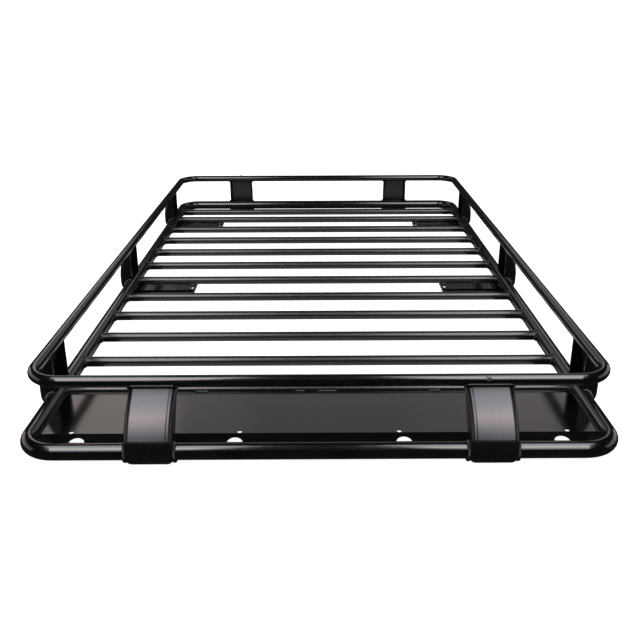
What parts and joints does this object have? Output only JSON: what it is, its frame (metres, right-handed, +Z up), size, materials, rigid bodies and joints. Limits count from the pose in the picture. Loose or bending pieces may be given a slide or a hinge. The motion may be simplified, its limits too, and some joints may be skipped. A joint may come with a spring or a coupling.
{
  "type": "roof cargo basket",
  "caption": "Steel roof cargo basket: slatted tube floor in a bent tube frame, raised tube guard rail on pressed uprights, drilled front panel and foot plates for mounting legs.",
  "frame": {"origin": "middle of the rack in plan, level with the undersides of the foot plates", "axes": "+X right, +Y to the rear of the vehicle, +Z up; the panel end is at -Y"},
  "size_m": [1.284, 2.224, 0.163],
  "materials": {
    "rail_tube": "glossy black powder coat on steel tube",
    "slat_tube": "glossy black powder coat on steel tube",
    "upright_sheet": "glossy black powder coat on pressed steel sheet",
    "foot_plate": "glossy black powder coat on steel plate",
    "front_panel": "smooth glossy black powder coat on folded steel sheet",
    "joint_sleeve": "bare drawn steel tube, inside the rails"
  },
  "bodies": {
    "root": {"foot_plate_left_1": "foot_plate", "foot_plate_left_2": "foot_plate", "foot_plate_left_3": "foot_plate", "foot_plate_right_1": "foot_plate", "foot_plate_right_2": "foot_plate", "foot_plate_right_3": "foot_plate", "front_panel": "front_panel", "lower_rail_left": "rail_tube", "lower_rail_right": "rail_tube", "lower_sleeve_front": "joint_sleeve", "lower_sleeve_rear": "joint_sleeve", "slat_00": "slat_tube", "slat_01": "slat_tube", "slat_02": "slat_tube", "slat_03": "slat_tube", "slat_04": "slat_tube", "slat_05": "slat_tube", "slat_06": "slat_tube", "slat_07": "slat_tube", "slat_08": "slat_tube", "slat_09": "slat_tube", "slat_10": "slat_tube", "slat_11": "slat_tube", "upper_rail_left": "rail_tube", "upper_rail_right": "rail_tube", "upper_sleeve_front": "joint_sleeve", "upper_sleeve_rear": "joint_sleeve", "upright_front_left": "upright_sheet", "upright_front_right": "upright_sheet", "upright_left_1": "upright_sheet", "upright_left_2": "upright_sheet", "upright_left_3": "upright_sheet", "upright_rear_left": "upright_sheet", "upright_rear_right": "upright_sheet", "upright_right_1": "upright_sheet", "upright_right_2": "upright_sheet", "upright_right_3": "upright_sheet"}
  },
  "joints": []
}
